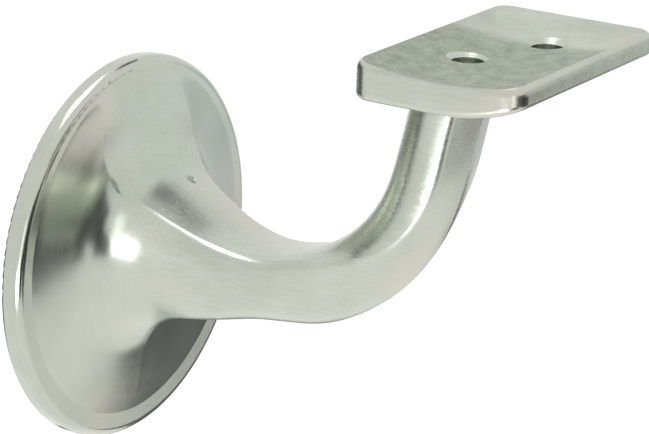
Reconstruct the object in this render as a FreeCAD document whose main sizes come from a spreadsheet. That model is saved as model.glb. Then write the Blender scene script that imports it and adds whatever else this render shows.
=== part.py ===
"""Handrail bracket: a one-piece aluminium casting.

A round wall rose swells into a J-shaped arm, and the arm carries a rail seat
with a shallow cradle and two screw holes set diagonally. A tapped hole in the
flat back takes the hidden wall stud.

Frame: origin at the centre of the rose's flat back. +Y points into the wall,
so the arm reaches towards -Y. X runs along the handrail and +Z is up.
"Reach" below is the distance out from the wall, along -Y.
"""
import FreeCAD, Part

import math
import os

import Sketcher
from FreeCAD import Rotation, Vector

os.makedirs("parts", exist_ok=True)
doc = FreeCAD.newDocument("HandrailBracket")

# ---------------------------------------------------------------- sizes (mm, degrees)
SIZES = [
    ("rose_diameter", 70.0),
    ("rose_thickness", 3.8),
    ("rim_front_round", 1.6),
    ("rim_back_round", 0.6),
    ("rose_land", 1.8),           # from the rose's edge to the foot of the flare
    ("flare_sink", 0.8),          # how deep the flare starts inside the rose
    ("run_height", -0.8),         # level of the arm's axis above the rose's centre
    ("start_ridge", 2.08),        # first section: its ridges melt into the round foot
    ("start_shoulder", 12.0),
    ("start_top_over", 0.8),      # its top arc's radius beyond the foot's radius
    ("start_set_over", 0.5),
    ("neck_half_width", 7.9),
    ("neck_half_depth", 6.9),
    ("neck_shoulder", 1.6),       # radius of the two ridges beside the flat top
    ("neck_top_radius", 45.0),    # gentle crown across the arm's top face
    ("neck_set_over", 3.0),       # each side's centre past the middle: makes the keel
    ("fan_half_width", 14.4),     # half the spread of the ridges at the rose
    ("bend_radius", 32.5),
    ("riser_lean", 13.0),         # degrees from upright, away from the wall
    ("riser_half_width", 7.6),
    ("riser_half_depth", 6.3),
    ("riser_shoulder", 1.8),
    ("riser_ridge_set_back", 3.0),  # ridge's centre beyond the riser's axis
    ("riser_set_over", 3.3),
    ("riser_inset", 6.3),         # riser's axis in from the seat's wall-side face
    ("wall_to_rail", 76.5),       # wall to the middle of the rail seat
    ("seat_height", 49.8),        # rose's centre to the seat's two long edges
    ("seat_length", 49.0),
    ("seat_width", 30.4),
    ("seat_thickness", 6.8),
    ("seat_edge_thickness", 3.7),  # at the edge farthest from the wall
    ("seat_flat_bottom", 16.0),   # level part of the underside, from the wall side
    ("seat_corner_radius", 3.3),
    ("seat_upper_round", 1.7),
    ("seat_lower_round", 1.2),
    ("cradle_depth", 1.4),
    ("cradle_length", 30.5),      # full-depth part of the cradle, from its open end
    ("screw_hole_diameter", 5.5),
    ("screw_hole_mouth", 6.6),
    ("screw_offset_along", 8.0),  # from the seat's middle, along the rail
    ("screw_offset_across", 3.0),  # from the seat's middle, away from the wall
    ("screw_hole_overrun", 1.0),  # how far the cut runs past the underside
    ("stud_hole_diameter", 6.8),  # tapping size for an M8 thread
    ("stud_hole_depth", 18.0),
    ("stud_hole_mouth", 7.8),
]
# Sections of the flare, from the rose to the start of the bend. Each row gives
# the share of the run already covered, how much of the swell is left in the
# crown, the keel and the ridges (1 is at the rose, 0 is the plain neck), the
# ridge radius, and the keel's set-over.
FLARE = [
    ("foot", 0.0145, 0.9185, 0.760, 1.32, 7.0, 0.8),
    ("root", 0.051, 0.781, 0.488, 1.03, 3.5, 1.5),
    ("fan", 0.0945, 0.562, 0.357, 1.00, 2.2, 2.0),
    ("throat", 0.160, 0.401, 0.252, 0.846, 1.8, 2.4),
    ("waist", 0.280, 0.281, 0.167, 0.554, 1.6, 3.0),
    ("middle", 0.444, 0.182, 0.128, 0.354, 1.6, 3.0),
    ("slim", 0.680, 0.071, 0.078, 0.160, 1.6, 3.0),
]
FLARE_COLUMNS = ("share", "crown", "keel", "ridge", "shoulder", "set_over")
# How far the ridges have moved from the top of the run to the back of the riser,
# at equal steps round the bend.
RIDGE_SHARES = (0.0, 0.03, 0.16, 0.5, 0.84, 1.0)
# Places of the riser's sections, as shares of its height up to the seat's underside.
RISER_SHARES = (0.5, 1.0, 1.25)
DRILL_POINT = 0.6                 # depth of a drill's point, as a share of its radius
SAME_PLACE = 0.01                 # how near a corner is to the place that is looked for

sheet = doc.addObject("Spreadsheet::Sheet", "Sizes")
value = {}


def add_size(name, number):
    """Put one size in the sheet under its own name."""
    cell = f"B{len(value) + 1}"
    sheet.set(f"A{len(value) + 1}", name)
    sheet.set(cell, str(number))
    sheet.setAlias(cell, name)
    value[name] = number


for size_name, number in SIZES:
    add_size(size_name, number)
for row in FLARE:
    for column, number in zip(FLARE_COLUMNS, row[1:]):
        add_size(f"{row[0]}_{column}", number)
doc.recompute()


class Size:
    """A sum worked out twice: as a number, and as text for setExpression."""

    def __init__(self, text, number):
        self.text = text
        self.number = number

    def _join(self, other, sign, result):
        other_text = other.text if isinstance(other, Size) else repr(other)
        return Size(f"({self.text} {sign} {other_text})", result)

    def __add__(self, other):
        return self._join(other, "+", self.number + plain(other))

    def __sub__(self, other):
        return self._join(other, "-", self.number - plain(other))

    def __mul__(self, other):
        return self._join(other, "*", self.number * plain(other))

    def __truediv__(self, other):
        return self._join(other, "/", self.number / plain(other))


def plain(item):
    return item.number if isinstance(item, Size) else item


def size(name):
    return Size(f"Sizes.{name}", value[name])


def sine(angle):
    return Size(f"sin({angle.text})", math.sin(math.radians(angle.number)))


def cosine(angle):
    return Size(f"cos({angle.text})", math.cos(math.radians(angle.number)))


def root(square):
    return Size(f"sqrt({square.text})", math.sqrt(square.number))


def blend(start, end, share):
    """The value that lies this share of the way from start to end."""
    return start + (end - start) * share


# ---------------------------------------------------------------- body and helpers
body = doc.addObject("PartDesign::Body", "bracket")
body.Label = "bracket"


def origin_plane(role):
    return next(item for item in body.Origin.OriginFeatures if item.Role == role)


def new_sketch(name, role, offset_x=None, offset_y=None, offset_z=None, tilt=None):
    """A sketch on one of the body's planes, moved and tilted by named sizes."""
    sketch = body.newObject("Sketcher::SketchObject", name)
    sketch.AttachmentSupport = [(origin_plane(role), "")]
    sketch.MapMode = "FlatFace"
    offset = FreeCAD.Placement()
    if tilt is not None:
        offset.Rotation = Rotation(Vector(-1, 0, 0), tilt.number)
    sketch.AttachmentOffset = offset
    for axis, amount in (("x", offset_x), ("y", offset_y), ("z", offset_z)):
        if amount is not None:
            sketch.setExpression(f".AttachmentOffset.Base.{axis}", amount.text)
    if tilt is not None:
        sketch.setExpression(".AttachmentOffset.Rotation.Angle", tilt.text)
    return sketch


def dimension(sketch, kind, *arguments):
    """Add a driving dimension and bind it to the sheet."""
    amount = arguments[-1]
    places = arguments[:-1]
    index = sketch.addConstraint(Sketcher.Constraint(kind, *places, amount.number))
    sketch.setExpression(f"Constraints[{index}]", amount.text)


def arc(centre_x, centre_y, radius, start, end):
    circle = Part.Circle(Vector(centre_x, centre_y, 0), Vector(0, 0, 1), radius)
    return Part.ArcOfCircle(circle, start, end)


level = Size("0", 0.0)


# ---------------------------------------------------------------- the rail seat
# Its outline seen along the rail, with x as Y and y as Z: a level underside that
# curves up to a thin far edge, under a flat top.
wall_side = size("seat_width") / 2 - size("wall_to_rail")
far_side = level - size("seat_width") / 2 - size("wall_to_rail")
under = size("seat_height") - size("seat_thickness")
flat_end = wall_side - size("seat_flat_bottom")
far_foot = size("seat_height") - size("seat_edge_thickness")
slope_run = flat_end.number - far_side.number
slope_rise = far_foot.number - under.number
slope_radius = (slope_run ** 2 + slope_rise ** 2) / (2 * slope_rise)
slope_angle = math.asin(slope_run / slope_radius)
top = value["seat_height"]

seat_sketch = new_sketch("seat_profile", "YZ_Plane")
seat_sketch.addGeometry([
    Part.LineSegment(Vector(wall_side.number, under.number, 0),
                     Vector(flat_end.number, under.number, 0)),
    arc(flat_end.number, under.number + slope_radius, slope_radius,
        1.5 * math.pi - slope_angle, 1.5 * math.pi),
    Part.LineSegment(Vector(far_side.number, far_foot.number, 0),
                     Vector(far_side.number, top, 0)),
    Part.LineSegment(Vector(far_side.number, top, 0), Vector(wall_side.number, top, 0)),
    Part.LineSegment(Vector(wall_side.number, top, 0),
                     Vector(wall_side.number, under.number, 0)),
], False)
for constraint in (
    ("Horizontal", 0),
    ("Tangent", 0, 2, 1, 2),
    ("Coincident", 1, 1, 2, 1),
    ("Vertical", 2),
    ("Coincident", 2, 2, 3, 1),
    ("Horizontal", 3),
    ("Coincident", 3, 2, 4, 1),
    ("Vertical", 4),
    ("Coincident", 4, 2, 0, 1),
):
    seat_sketch.addConstraint(Sketcher.Constraint(*constraint))
dimension(seat_sketch, "DistanceX", 3, 2, -1, 1, level - wall_side)
dimension(seat_sketch, "DistanceX", 3, 1, 3, 2, size("seat_width"))
dimension(seat_sketch, "DistanceY", -1, 1, 3, 1, size("seat_height"))
dimension(seat_sketch, "DistanceY", 4, 2, 4, 1, size("seat_thickness"))
dimension(seat_sketch, "DistanceY", 2, 1, 2, 2, size("seat_edge_thickness"))
dimension(seat_sketch, "DistanceX", 0, 2, 0, 1, size("seat_flat_bottom"))
seat = body.newObject("PartDesign::Pad", "seat")
seat.Profile = seat_sketch
seat.Midplane = True
seat.setExpression("Length", size("seat_length").text)
doc.recompute()


def edge_names(feature, test):
    """Names of the feature's edges whose end points all pass the test."""
    return [
        f"Edge{number}"
        for number, edge in enumerate(feature.Shape.Edges, 1)
        if all(test(vertex.Point) for vertex in edge.Vertexes)
    ]


def rounding(name, base, names, amount):
    fillet = body.newObject("PartDesign::Fillet", name)
    fillet.Base = (base, names)
    fillet.setExpression("Radius", amount.text)
    doc.recompute()
    return fillet


# Its corners are rounded in plan, then its upper and lower outlines are rounded.
upright = [
    name
    for x in (-value["seat_length"] / 2, value["seat_length"] / 2)
    for y in (wall_side.number, far_side.number)
    for name in edge_names(seat, lambda point: math.hypot(point.x - x, point.y - y) < SAME_PLACE)
]
corners = rounding("seat_corners", seat, upright, size("seat_corner_radius"))
upper = edge_names(
    corners,
    lambda point: abs(point.y - wall_side.number) < SAME_PLACE and point.z > top - SAME_PLACE)
upper_round = rounding("seat_upper_round", corners, upper, size("seat_upper_round"))
lower = edge_names(
    upper_round,
    lambda point: abs(point.y - wall_side.number) < SAME_PLACE and point.z < under.number + SAME_PLACE)
lower_round = rounding("seat_lower_round", upper_round, lower, size("seat_lower_round"))

# The cradle for the rail: a shallow round trough, cut from the near end until it
# meets a plane that slopes up to the far end's top.
dip = size("cradle_depth")
cradle_radius = (size("seat_width") * size("seat_width") / 4 + dip * dip) / (dip * 2)
cradle_angle = math.asin(value["seat_width"] / 2 / cradle_radius.number)
clear = size("cradle_depth")
clear_z = top + clear.number
cradle_sketch = new_sketch("cradle_profile", "YZ_Plane", None, None, level - size("seat_length"))
cradle_sketch.addGeometry([
    arc(-value["wall_to_rail"], top - dip.number + cradle_radius.number, cradle_radius.number,
        1.5 * math.pi - cradle_angle, 1.5 * math.pi + cradle_angle),
    Part.LineSegment(Vector(wall_side.number, top, 0), Vector(wall_side.number, clear_z, 0)),
    Part.LineSegment(Vector(wall_side.number, clear_z, 0), Vector(far_side.number, clear_z, 0)),
    Part.LineSegment(Vector(far_side.number, clear_z, 0), Vector(far_side.number, top, 0)),
], False)
for constraint in (
    ("Coincident", 0, 2, 1, 1),
    ("Coincident", 1, 2, 2, 1),
    ("Coincident", 2, 2, 3, 1),
    ("Coincident", 3, 2, 0, 1),
    ("Vertical", 1),
    ("Horizontal", 2),
    ("Vertical", 3),
):
    cradle_sketch.addConstraint(Sketcher.Constraint(*constraint))
dimension(cradle_sketch, "Radius", 0, cradle_radius)
dimension(cradle_sketch, "DistanceX", 0, 3, -1, 1, size("wall_to_rail"))
dimension(cradle_sketch, "DistanceX", 0, 1, 0, 2, size("seat_width"))
dimension(cradle_sketch, "DistanceY", -1, 1, 0, 1, size("seat_height"))
dimension(cradle_sketch, "DistanceY", 1, 1, 1, 2, clear)
ramp = body.newObject("PartDesign::Plane", "ramp_plane")
ramp.AttachmentSupport = [(origin_plane("XY_Plane"), "")]
ramp.MapMode = "FlatFace"
ramp_slope = math.degrees(math.atan(dip.number / (value["seat_length"] - value["cradle_length"])))
ramp.AttachmentOffset = FreeCAD.Placement(Vector(), Rotation(Vector(0, -1, 0), ramp_slope))
ramp.setExpression(".AttachmentOffset.Base.x", (size("seat_length") / 2).text)
ramp.setExpression(".AttachmentOffset.Base.z", size("seat_height").text)
ramp.setExpression(
    ".AttachmentOffset.Rotation.Angle",
    "atan(Sizes.cradle_depth / (Sizes.seat_length - Sizes.cradle_length))",
)
cradle = body.newObject("PartDesign::Pocket", "cradle")
cradle.Profile = cradle_sketch
cradle.Type = "UpToFace"
cradle.UpToFace = (ramp, [""])
cradle.Reversed = True
doc.recompute()


# ---------------------------------------------------------------- the arm's sections
def section(name, reach, height, tilt, crown, keel, half_width, shoulder, top_radius, set_over,
            ridge_side=1):
    """One closed section of the arm: a crowned top, two rounded ridges, and two
    sides that meet in a keel on the middle line. Five arcs, tangent but at the keel.
    The ridges' centres lie above the top arc's centre (1) or below it (-1)."""
    sketch = new_sketch(name, "XZ_Plane", None, height, reach, tilt)
    top_y = crown.number - top_radius.number
    ridge = shoulder.number
    ridge_x = half_width.number - ridge
    ridge_y = top_y + ridge_side * math.sqrt((top_radius.number - ridge) ** 2 - ridge_x ** 2)
    over = set_over.number
    # The side's circle passes through the keel and touches the ridge's circle.
    rise = ridge_y + keel.number
    square = (over + ridge_x) ** 2 - over ** 2 + rise ** 2 - ridge ** 2
    a = 4 * (rise ** 2 - ridge ** 2)
    b = 4 * square * rise
    c = square ** 2 - 4 * ridge ** 2 * over ** 2
    lift = (b + math.sqrt(b * b - 4 * a * c)) / (2 * a)
    side_y = lift - keel.number
    side_radius = math.hypot(over, lift)
    top_angle = math.atan2(ridge_y - top_y, ridge_x)
    side_angle = math.atan2(ridge_y - side_y, ridge_x + over)
    keel_angle = math.atan2(-lift, over)
    half_turn = math.pi
    sketch.addGeometry([
        arc(0, top_y, top_radius.number, top_angle, half_turn - top_angle),
        arc(ridge_x, ridge_y, ridge, side_angle, top_angle),
        arc(-over, side_y, side_radius, keel_angle, side_angle),
        arc(over, side_y, side_radius, half_turn - side_angle, half_turn - keel_angle),
        arc(-ridge_x, ridge_y, ridge, half_turn - top_angle, half_turn - side_angle),
    ], False)
    for constraint in (
        ("Tangent", 0, 1, 1, 2),
        ("Tangent", 1, 1, 2, 2),
        ("Coincident", 2, 1, 3, 2),
        ("Tangent", 3, 1, 4, 2),
        ("Tangent", 4, 1, 0, 2),
        ("PointOnObject", 2, 1, -2),
        ("PointOnObject", 0, 3, -2),
        ("Equal", 1, 4),
    ):
        sketch.addConstraint(Sketcher.Constraint(*constraint))
    dimension(sketch, "DistanceY", 2, 1, -1, 1, keel)
    dimension(sketch, "DistanceY", 0, 3, -1, 1, top_radius - crown)
    dimension(sketch, "Radius", 0, top_radius)
    dimension(sketch, "Radius", 1, shoulder)
    dimension(sketch, "DistanceX", -1, 1, 1, 3, half_width - shoulder)
    dimension(sketch, "DistanceX", 4, 3, -1, 1, half_width - shoulder)
    dimension(sketch, "DistanceX", 2, 3, -1, 1, set_over)
    dimension(sketch, "DistanceX", -1, 1, 3, 3, set_over)
    return sketch


# The arm's axis: a level run, a bend, and a riser that leans away from the wall
# and ends inside the seat.
turn = Size("(90 - Sizes.riser_lean)", 90 - value["riser_lean"])
tip_reach = size("wall_to_rail") - size("seat_width") / 2 + size("riser_inset")
tip_height = size("seat_height") - size("seat_thickness")
bend_run = size("bend_radius") * sine(turn)
bend_rise = size("bend_radius") - size("bend_radius") * cosine(turn)
riser_rise = tip_height - size("run_height") - bend_rise
riser_run = riser_rise * cosine(turn) / sine(turn)
bend_start = tip_reach - bend_run - riser_run

rose_radius = size("rose_diameter") / 2
foot_radius = rose_radius - size("rose_land")
neck_crown = size("run_height") + size("neck_half_depth")
neck_keel = size("neck_half_depth") - size("run_height")

sections = [section(
    "arm_section_start",
    size("rose_thickness") - size("flare_sink"), level, level,
    foot_radius, foot_radius,
    blend(size("neck_half_width"), size("fan_half_width"), size("start_ridge")),
    size("start_shoulder"), foot_radius + size("start_top_over"), size("start_set_over"),
)]
for station in FLARE:
    part_name = station[0]
    sections.append(section(
        f"arm_section_{part_name}",
        blend(size("rose_thickness"), bend_start, size(f"{part_name}_share")), level, level,
        blend(neck_crown, foot_radius, size(f"{part_name}_crown")),
        blend(neck_keel, foot_radius, size(f"{part_name}_keel")),
        blend(size("neck_half_width"), size("fan_half_width"), size(f"{part_name}_ridge")),
        size(f"{part_name}_shoulder"), size("neck_top_radius"), size(f"{part_name}_set_over"),
    ))
neck_arc = size("neck_top_radius") - size("neck_shoulder")
neck_ridge = size("neck_half_width") - size("neck_shoulder")
neck_ridge_level = (size("neck_half_depth") - size("neck_top_radius")
                    + root(neck_arc * neck_arc - neck_ridge * neck_ridge))


def bend_section(name, reach, height, tilt, share, ridge_share):
    """A section between the plain neck (share 0) and the riser (share 1). The top
    arc's radius follows from the crown and from where the ridge's centre lies."""
    half_depth = blend(size("neck_half_depth"), size("riser_half_depth"), share)
    half_width = blend(size("neck_half_width"), size("riser_half_width"), share)
    shoulder = blend(size("neck_shoulder"), size("riser_shoulder"), share)
    ridge_level = blend(neck_ridge_level, level - size("riser_ridge_set_back"), ridge_share)
    ridge_x = half_width - shoulder
    drop = half_depth - ridge_level
    top_radius = ((ridge_x * ridge_x + drop * drop - shoulder * shoulder)
                  / ((drop - shoulder) * 2))
    ridge_side = 1 if ridge_level.number > half_depth.number - top_radius.number else -1
    return section(name, reach, height, tilt, half_depth, half_depth, half_width, shoulder,
                   top_radius, blend(size("neck_set_over"), size("riser_set_over"), share),
                   ridge_side)


for step, ridge_share in enumerate(RIDGE_SHARES):
    share = step / (len(RIDGE_SHARES) - 1)
    angle = turn * share
    sections.append(bend_section(
        f"arm_section_bend_{step}",
        bend_start + size("bend_radius") * sine(angle),
        size("run_height") + size("bend_radius") - size("bend_radius") * cosine(angle),
        angle, share, ridge_share,
    ))
# The riser is straight, and its tip ends inside the seat.
for riser_share in RISER_SHARES:
    sections.append(bend_section(
        f"arm_section_riser_{round(riser_share * 100)}",
        bend_start + bend_run + riser_run * riser_share,
        size("run_height") + bend_rise + riser_rise * riser_share,
        turn, 1.0, 1.0,
    ))
doc.recompute()

arm = body.newObject("PartDesign::AdditiveLoft", "arm")
arm.Profile = sections[0]
arm.Sections = sections[1:]
arm.Ruled = False
doc.recompute()

# ---------------------------------------------------------------- the rose
# A flat disc with a rounded rim, turned about the Y axis.
rose_sketch = new_sketch("rose_profile", "YZ_Plane")
radius = rose_radius.number
depth = value["rose_thickness"]
front_round = value["rim_front_round"]
back_round = value["rim_back_round"]
# In this sketch x is Y, so the front of the rose is at x = -thickness.
rose_sketch.addGeometry([
    Part.LineSegment(Vector(0, 0, 0), Vector(0, radius - back_round, 0)),
    arc(-back_round, radius - back_round, back_round, 0, math.pi / 2),
    Part.LineSegment(Vector(-back_round, radius, 0), Vector(front_round - depth, radius, 0)),
    arc(front_round - depth, radius - front_round, front_round, math.pi / 2, math.pi),
    Part.LineSegment(Vector(-depth, radius - front_round, 0), Vector(-depth, 0, 0)),
    Part.LineSegment(Vector(-depth, 0, 0), Vector(0, 0, 0)),
], False)
for constraint in (
    ("Coincident", 0, 1, -1, 1),
    ("Vertical", 0),
    ("Tangent", 0, 2, 1, 1),
    ("Tangent", 1, 2, 2, 1),
    ("Horizontal", 2),
    ("Tangent", 2, 2, 3, 1),
    ("Tangent", 3, 2, 4, 1),
    ("Coincident", 4, 2, 5, 1),
    ("Coincident", 5, 2, 0, 1),
    ("Horizontal", 5),
):
    rose_sketch.addConstraint(Sketcher.Constraint(*constraint))
dimension(rose_sketch, "Radius", 1, size("rim_back_round"))
dimension(rose_sketch, "Radius", 3, size("rim_front_round"))
dimension(rose_sketch, "DistanceY", -1, 1, 2, 1, rose_radius)
dimension(rose_sketch, "DistanceX", 4, 2, -1, 1, size("rose_thickness"))
rose = body.newObject("PartDesign::Revolution", "rose")
rose.Profile = rose_sketch
rose.ReferenceAxis = (rose_sketch, ["H_Axis"])
rose.Angle = 360.0

# ---------------------------------------------------------------- the holes
def turned_cut(name, sketch, axis):
    """A cut turned about one of its sketch's own axes."""
    groove = body.newObject("PartDesign::Groove", name)
    groove.Profile = sketch
    groove.ReferenceAxis = (sketch, [axis])
    groove.Angle = 360.0
    return groove


# Two plain holes for the screws into the rail, set diagonally across the seat.
# In each sketch y is Z and the hole's axis is x = 0; the mouth flares at 45 degrees.
hole_radius = size("screw_hole_diameter") / 2
mouth_radius = size("screw_hole_mouth") / 2
mouth_level = size("seat_height") - size("cradle_depth")
hole_floor = under - size("screw_hole_overrun")
for number, side in ((1, -1), (2, 1)):
    reach = size("wall_to_rail") + size("screw_offset_across") * side
    hole_sketch = new_sketch(f"screw_hole_{number}_profile", "XZ_Plane",
                             size("screw_offset_along") * side, None, reach)
    bore = hole_radius.number
    flare = mouth_radius.number + dip.number
    throat = mouth_level.number - (mouth_radius.number - bore)
    points = [
        Vector(0, hole_floor.number, 0),
        Vector(bore, hole_floor.number, 0),
        Vector(bore, throat, 0),
        Vector(flare, top, 0),
        Vector(0, top, 0),
    ]
    ends = points[1:] + points[:1]
    hole_sketch.addGeometry([Part.LineSegment(a, b) for a, b in zip(points, ends)], False)
    for constraint in (
        ("Coincident", 0, 2, 1, 1),
        ("Coincident", 1, 2, 2, 1),
        ("Coincident", 2, 2, 3, 1),
        ("Coincident", 3, 2, 4, 1),
        ("Coincident", 4, 2, 0, 1),
        ("Horizontal", 0),
        ("Vertical", 1),
        ("Horizontal", 3),
        ("PointOnObject", 4, 1, -2),
        ("PointOnObject", 4, 2, -2),
    ):
        hole_sketch.addConstraint(Sketcher.Constraint(*constraint))
    dimension(hole_sketch, "DistanceY", -1, 1, 0, 1, hole_floor)
    dimension(hole_sketch, "DistanceX", 0, 1, 0, 2, hole_radius)
    dimension(hole_sketch, "DistanceY", -1, 1, 3, 1, size("seat_height"))
    dimension(hole_sketch, "DistanceX", 3, 2, 3, 1, mouth_radius + dip)
    dimension(hole_sketch, "DistanceY", -1, 1, 2, 1, mouth_level - (mouth_radius - hole_radius))
    turned_cut(f"screw_hole_{number}", hole_sketch, "V_Axis")

# The tapped hole for the wall stud: drilled from the back, with a drill point.
# In this sketch x is Y, so the hole runs towards x = -depth.
stud_radius = size("stud_hole_diameter") / 2
stud_mouth = size("stud_hole_mouth") / 2
drill_point = stud_radius * DRILL_POINT
stud_sketch = new_sketch("stud_hole_profile", "YZ_Plane")
bore = stud_radius.number
mouth = stud_mouth.number
deep = value["stud_hole_depth"]
points = [
    Vector(0, 0, 0),
    Vector(0, mouth, 0),
    Vector(bore - mouth, bore, 0),
    Vector(-deep, bore, 0),
    Vector(-deep - drill_point.number, 0, 0),
]
ends = points[1:] + points[:1]
stud_sketch.addGeometry([Part.LineSegment(a, b) for a, b in zip(points, ends)], False)
for constraint in (
    ("Coincident", 0, 2, 1, 1),
    ("Coincident", 1, 2, 2, 1),
    ("Coincident", 2, 2, 3, 1),
    ("Coincident", 3, 2, 4, 1),
    ("Coincident", 4, 2, 0, 1),
    ("Coincident", 0, 1, -1, 1),
    ("Vertical", 0),
    ("Horizontal", 2),
    ("Horizontal", 4),
):
    stud_sketch.addConstraint(Sketcher.Constraint(*constraint))
dimension(stud_sketch, "DistanceY", 0, 1, 0, 2, stud_mouth)
dimension(stud_sketch, "DistanceY", -1, 1, 2, 1, stud_radius)
dimension(stud_sketch, "DistanceX", 1, 2, 0, 2, stud_mouth - stud_radius)
dimension(stud_sketch, "DistanceX", 2, 2, -1, 1, size("stud_hole_depth"))
dimension(stud_sketch, "DistanceX", 3, 2, 2, 2, drill_point)
turned_cut("stud_hole", stud_sketch, "H_Axis")
doc.recompute()

# ---------------------------------------------------------------- checks and export
for item in doc.Objects:
    if "Invalid" in item.State or "Error" in item.State:
        raise RuntimeError(f"{item.Name} did not build: {item.State}")
shape = body.Shape
if shape.isNull() or not shape.isValid() or len(shape.Solids) != 1:
    raise RuntimeError("the bracket is not one valid solid")
shape.exportStep("parts/bracket.step")
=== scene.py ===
import math

import bmesh
import bpy
from mathutils import Matrix, Vector

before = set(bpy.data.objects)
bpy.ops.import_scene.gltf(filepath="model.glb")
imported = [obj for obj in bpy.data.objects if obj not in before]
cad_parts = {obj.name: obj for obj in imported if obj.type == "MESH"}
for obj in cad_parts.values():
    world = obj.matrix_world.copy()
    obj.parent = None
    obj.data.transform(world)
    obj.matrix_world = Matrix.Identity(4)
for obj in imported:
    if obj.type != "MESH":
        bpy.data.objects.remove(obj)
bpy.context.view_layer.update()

# ---------------------------------------------------------------- the casting
# One aluminium casting: round wall rose, swelling J-shaped arm and rail seat. It is
# ground and brushed by hand, round the rose and along the arm; the bed of the seat,
# which the rail hides, is left rough as it came from the mould.


class Shade:
    """One shader socket. A sum or product written with it adds its own Math nodes."""

    def __init__(self, tree, socket=None):
        self.tree = tree
        self.socket = socket

    def node(self, kind, settings=None, output=0, **values):
        """A node of this type: its settings first, then the values or links of its sockets."""
        made = self.tree.nodes.new(f"ShaderNode{kind}")
        for name, setting in (settings or {}).items():
            if name == "stops":
                while len(made.color_ramp.elements) < len(setting):
                    made.color_ramp.elements.new(1.0)
                for element, (place, colour) in zip(made.color_ramp.elements, setting):
                    element.position = place
                    element.color = colour
            else:
                setattr(made, name, setting)
        for name, given in values.items():
            place = int(name[1:]) if name[0] == "_" else name.replace("_", " ")
            target = made.inputs[place]
            if isinstance(given, Shade):
                self.tree.links.new(given.socket, target)
            else:
                target.default_value = given
        return Shade(self.tree, made.outputs[output])

    def math(self, operation, first, second=0.0, third=0.0):
        return self.node("Math", {"operation": operation}, _0=first, _1=second, _2=third)

    def __add__(self, other):
        return self.math("ADD", self, other)

    def __sub__(self, other):
        return self.math("SUBTRACT", self, other)

    def __rsub__(self, other):
        return self.math("SUBTRACT", other, self)

    def __mul__(self, other):
        return self.math("MULTIPLY", self, other)

    def __truediv__(self, other):
        return self.math("DIVIDE", self, other)

    __radd__ = __add__
    __rmul__ = __mul__

    def rise(self, low, high):
        """0 below low, 1 above high, and smooth between them."""
        return self.node("MapRange", {"interpolation_type": "SMOOTHSTEP"},
                         Value=self, From_Min=low, From_Max=high)

    def tint(self, share, other):
        """This colour, turned towards the other one by a share."""
        return self.node("Mix", {"data_type": "RGBA"}, output=2, _0=share, _6=self, _7=other)


def new_finish(name):
    """An empty material with one Principled shader; gives both and a Shade to build from."""
    finish = bpy.data.materials.new(name)
    finish.use_nodes = True
    finish.node_tree.nodes.clear()
    output = finish.node_tree.nodes.new("ShaderNodeOutputMaterial")
    shader = finish.node_tree.nodes.new("ShaderNodeBsdfPrincipled")
    finish.node_tree.links.new(shader.outputs[0], output.inputs[0])
    return finish, shader, Shade(finish.node_tree)


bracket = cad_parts["bracket"]
cast, cast_shader, make = new_finish("satin_cast_aluminium")

place = make.node("TexCoord", output="Object")
facing = make.node("TexCoord", output="Normal")
millimetres = make.node("VectorMath", {"operation": "SCALE"}, _0=place, Scale=1000.0)
across = make.node("SeparateXYZ", output=0, Vector=millimetres)
reach = make.node("SeparateXYZ", output=1, Vector=millimetres) * -1.0
height = make.node("SeparateXYZ", output=2, Vector=millimetres)
facing_room = make.node("SeparateXYZ", output=1, Vector=facing) * -1.0
facing_up = make.node("SeparateXYZ", output=2, Vector=facing)

# Where each finish lies, in mm from the rose's axis, the wall and the rose's centre; the last mask
# marks the seat's room-facing side for painted shade.
from_axis = make.math("SQRT", across * across + height * height)
on_rose = 1.0 - reach.rise(8.0, 16.0)
on_rim = from_axis.rise(33.0, 34.2) * (1.0 - reach.rise(4.2, 5.0))
on_seat = height.rise(42.8, 43.4) * reach.rise(60.0, 61.5)
on_bed = facing_up.rise(0.90, 0.97) * height.rise(47.0, 47.6) * on_seat
on_ramp = across.rise(4.0, 9.0)
# The seat's room-facing side, found by its facing: it gets painted shade, a darker speckled colour
# that is not the cast's own.
room_side_painted_shade = on_seat * facing_room.rise(0.80, 0.97)

# Brush lines run round the rose, where a fine noise changes quickly with the radius
# and slowly with the angle, and lengthwise on the arm.
heading = make.node("CombineXYZ", X=across / from_axis, Y=reach * 0.02, Z=height / from_axis)
round_lines = make.node("TexNoise", {"noise_dimensions": "4D"}, Vector=heading,
                        W=from_axis * 2.6, Scale=3.0, Detail=3.0, Roughness=0.6)
arm_place = make.node("Mapping", Vector=millimetres, Scale=(1.9, 0.10, 1.9))
long_lines = make.node("TexNoise", Vector=arm_place, Scale=1.0, Detail=3.0, Roughness=0.6)
lines = round_lines * on_rose + long_lines * (1.0 - on_rose)

# From large to fine: warm patches, clouds, the pits of the cast bed, and grains.
warm = make.node("TexNoise", Vector=millimetres, Scale=0.055, Detail=2.0, Roughness=0.5)
clouds = make.node("TexNoise", Vector=millimetres, Scale=0.09, Detail=3.0, Roughness=0.5)
pits = make.node("TexNoise", Vector=millimetres, Scale=0.42, Detail=2.0, Roughness=0.5)
grains = make.node("TexNoise", Vector=millimetres, Scale=2.2, Detail=3.0, Roughness=0.6)

# One casting pit on top of the flare, and the M8 thread in the wall hole.
from_pit = make.node("VectorMath", {"operation": "DISTANCE"}, output=1,
                     _0=millimetres, _1=(4.7, -12.0, 13.3))
on_pit = 1.0 - from_pit.rise(0.5, 1.2)
thread_pitch = 1.25
in_hole = (1.0 - from_axis.rise(3.5, 3.7)) * (1.0 - reach.rise(17.2, 17.8))
turns = reach / thread_pitch + make.math("ARCTAN2", height, across) / (2.0 * math.pi)
thread = make.math("PINGPONG", turns, 0.5) * in_hole

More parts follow.
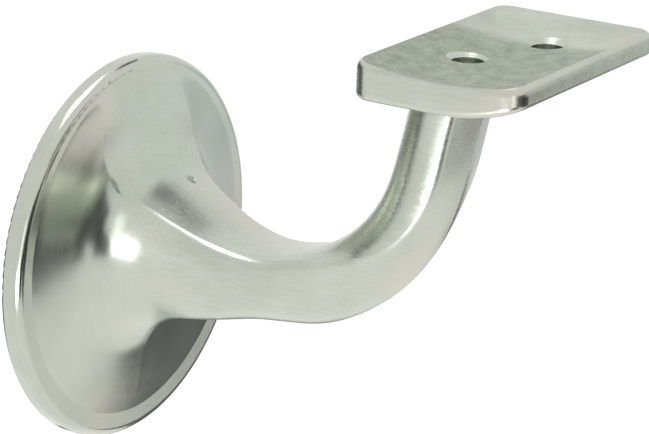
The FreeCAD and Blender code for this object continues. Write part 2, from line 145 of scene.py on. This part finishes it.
brushed_colour = make.node("ValToRGB", {"stops": [
    (0.30, (0.430, 0.468, 0.402, 1)),
    (0.50, (0.500, 0.542, 0.468, 1)),
    (0.70, (0.565, 0.600, 0.530, 1)),
]}, Fac=clouds * 0.5 + lines * 0.3 + grains * 0.2)
warmer_colour = brushed_colour.tint(warm.rise(0.46, 0.68) * 0.7, (0.580, 0.552, 0.490, 1))
bed_colour = make.node("ValToRGB", {"stops": [
    (0.30, (0.190, 0.218, 0.170, 1)),
    (0.50, (0.300, 0.340, 0.270, 1)),
    (0.70, (0.400, 0.440, 0.360, 1)),
]}, Fac=grains * 0.55 + pits * 0.45)
# The rough bed takes its own darker cast colour, less of it on the ramp; the seat's room-facing
# side is darkened with the same colour as painted shade.
bed_rough_and_room_side_shade = on_bed * (1.0 - on_ramp * 0.75) + room_side_painted_shade * 0.62
colour = warmer_colour.tint(bed_rough_and_room_side_shade, bed_colour).tint(on_pit * 0.55, (0.16, 0.19, 0.17, 1))

roughness = 0.27 - on_rose * 0.075 - on_rim * 0.06 + on_bed * 0.24 \
    + (lines - 0.5) * 0.10 + (grains - 0.5) * 0.06 + (clouds - 0.5) * 0.05

relief_in_mm = (lines - 0.5) * (0.009 * (1.0 - on_bed)) + (grains - 0.5) * (0.030 * on_bed) \
    + (pits - 0.5) * (0.10 * on_bed) + thread * 0.9 - on_pit * 0.25
bumps = make.node("Bump", Height=relief_in_mm * 0.001, Distance=1.0, Strength=1.0)

for socket, feed in (("Base Color", colour), ("Roughness", roughness), ("Normal", bumps)):
    cast.node_tree.links.new(feed.socket, cast_shader.inputs[socket])
cast_shader.inputs["Metallic"].default_value = 1.0
bracket.data.materials.clear()
bracket.data.materials.append(cast)

# ---------------------------------------------------------------- the set
# A pale floor well below the bracket and a white surround. The metal mirrors both as
# they are seen; the light that they cast is lower.
def staged_sheet(name, width, tall, level=0.0):
    """A flat sheet of the set, with its own matt material; gives the object and shader."""
    bm = bmesh.new()
    bmesh.ops.create_grid(bm, x_segments=1, y_segments=1, size=0.5)
    bmesh.ops.scale(bm, verts=bm.verts, vec=(width, tall, 1.0))
    bmesh.ops.translate(bm, verts=bm.verts, vec=(0, 0, level))
    mesh = bpy.data.meshes.new(name)
    bm.to_mesh(mesh)
    bm.free()
    finish, shader, make_finish = new_finish(name)
    shader.inputs["Roughness"].default_value = 0.9
    mesh.materials.append(finish)
    sheet = bpy.data.objects.new(name, mesh)
    bpy.context.scene.collection.objects.link(sheet)
    return sheet, shader, make_finish


floor_level = -0.45
floor, floor_shader, on_floor = staged_sheet("floor", 8.0, 8.0, floor_level)
floor_shader.inputs["Base Color"].default_value = (0.80, 0.80, 0.79, 1)
floor_shader.inputs["Emission Strength"].default_value = 1.0
floor_paths = [on_floor.node("LightPath", output=f"Is {kind} Ray")
               for kind in ("Camera", "Glossy")]
floor_glow = on_floor.node("Mix", {"data_type": "RGBA"}, output=2,
                           _0=on_floor.math("MAXIMUM", floor_paths[0], floor_paths[1]),
                           _6=(0.0, 0.0, 0.0, 1), _7=(0.52, 0.52, 0.52, 1))
on_floor.tree.links.new(floor_glow.socket, floor_shader.inputs["Emission Color"])

world = bpy.data.worlds.new("surround")
bpy.context.scene.world = world
world.use_nodes = True
world.node_tree.nodes.clear()
sky = Shade(world.node_tree)
camera_path, glossy_path, clear_path = [
    sky.node("LightPath", output=f"Is {kind} Ray") for kind in ("Camera", "Glossy", "Transmission")]
shown = sky.math("MAXIMUM", camera_path, sky.math("MAXIMUM", glossy_path, clear_path))
cast_light = 0.62
glow = sky.node("Background", Color=(1, 1, 1, 1), Strength=cast_light + shown * (1 - cast_light))
surround = world.node_tree.nodes.new("ShaderNodeOutputWorld")
world.node_tree.links.new(glow.socket, surround.inputs[0])


def standing_off(aim, azimuth, elevation, distance):
    """A placement this far from the aim in one direction, in degrees, facing the aim."""
    out = Vector((math.cos(math.radians(azimuth)) * math.cos(math.radians(elevation)),
                  math.sin(math.radians(azimuth)) * math.cos(math.radians(elevation)),
                  math.sin(math.radians(elevation))))
    return (Matrix.Translation(Vector(aim) + out * distance)
            @ out.to_track_quat("Z", "Y").to_matrix().to_4x4())


# ---------------------------------------------------------------- the lamps
# A large soft box overhead for the arm's top ridge, and two strips: one for the
# fillet beside the arm, and one for the streak down the riser. In metres and watts.
def soft_box(name, azimuth, elevation, distance, width, tall, power, aim):
    lamp = bpy.data.lights.new(name, "AREA")
    lamp.shape = "RECTANGLE"
    lamp.size = width
    lamp.size_y = tall
    lamp.energy = power
    holder = bpy.data.objects.new(name, lamp)
    holder.matrix_world = standing_off(aim, azimuth, elevation, distance)
    holder.visible_camera = False
    bpy.context.scene.collection.objects.link(holder)


middle = (0.0, -0.04, 0.01)
soft_box("top_box", 60, 78, 0.9, 0.5, 0.5, 3.2, middle)
soft_box("room_strip", -128, -2, 0.8, 0.15, 0.44, 0.20, (-0.014, -0.010, 0.008))
soft_box("riser_strip", -168, -27, 0.12, 0.07, 0.036, 0.060, (-0.008, -0.066, 0.028))

# ---------------------------------------------------------------- the dark cards
# Cards that only the metal sees: they draw the dark shapes on the rose and the shaded
# side of the riser, as black flags do in a studio. Grey runs from black, 0, to white, 1.
def dark_card(name, azimuth, elevation, distance, width, tall, grey, aim):
    card, shader, _ = staged_sheet(name, width, tall)
    shader.inputs["Base Color"].default_value = (grey, grey * 1.06, grey * 1.08, 1)
    card.matrix_world = standing_off(aim, azimuth, elevation, distance)
    card.visible_camera = False
    card.visible_diffuse = False
    card.visible_shadow = False


dark_card("room_card", -86, -3, 0.35, 0.28, 0.165, 0.10, (-0.020, -0.006, 0.013))
dark_card("room_card_low", -60, -12, 0.34, 0.22, 0.125, 0.04, (-0.024, -0.005, 0.012))
dark_card("arm_card", -114, -15, 0.15, 0.085, 0.055, 0.06, (-0.008, -0.058, 0.0))
dark_card("far_card", 7, -31, 0.30, 0.44, 0.150, 0.17, (0.004, -0.005, -0.022))
dark_card("side_card", -9, -8, 0.40, 0.30, 0.17, 0.95, (0.015, -0.005, 0.010))
dark_card("upper_card", -6, 48, 0.30, 0.09, 0.07, 0.24, (-0.004, -0.014, 0.012))
dark_card("wall_card", 94, -8, 0.30, 0.34, 0.30, 0.13, (-0.006, -0.062, 0.026))

# ---------------------------------------------------------------- the camera
# It stands to the near side of the bracket, a little above, half a metre away.
distance = 0.5
azimuth = math.radians(-58.33)
elevation = math.radians(18.11)
roll = math.radians(1.99)
back = Vector((math.sin(azimuth) * math.cos(elevation),
               -math.cos(azimuth) * math.cos(elevation),
               math.sin(elevation)))
right = Vector((0, 0, 1)).cross(back).normalized()
up = back.cross(right)
turned_right = right * math.cos(roll) + up * math.sin(roll)
turned_up = up * math.cos(roll) - right * math.sin(roll)
lens = bpy.data.cameras.new("view")
lens.sensor_width = 36.0
lens.lens = 160.8
lens.shift_x = 0.0224
lens.shift_y = 0.0248
lens.clip_start = 0.01
viewer = bpy.data.objects.new("view", lens)
viewer.matrix_world = Matrix.Translation(Vector(middle) + back * distance) @ Matrix(
    (turned_right, turned_up, back)).transposed().to_4x4()
bpy.context.scene.collection.objects.link(viewer)
bpy.context.scene.camera = viewer
bpy.context.scene.view_settings.view_transform = "Standard"
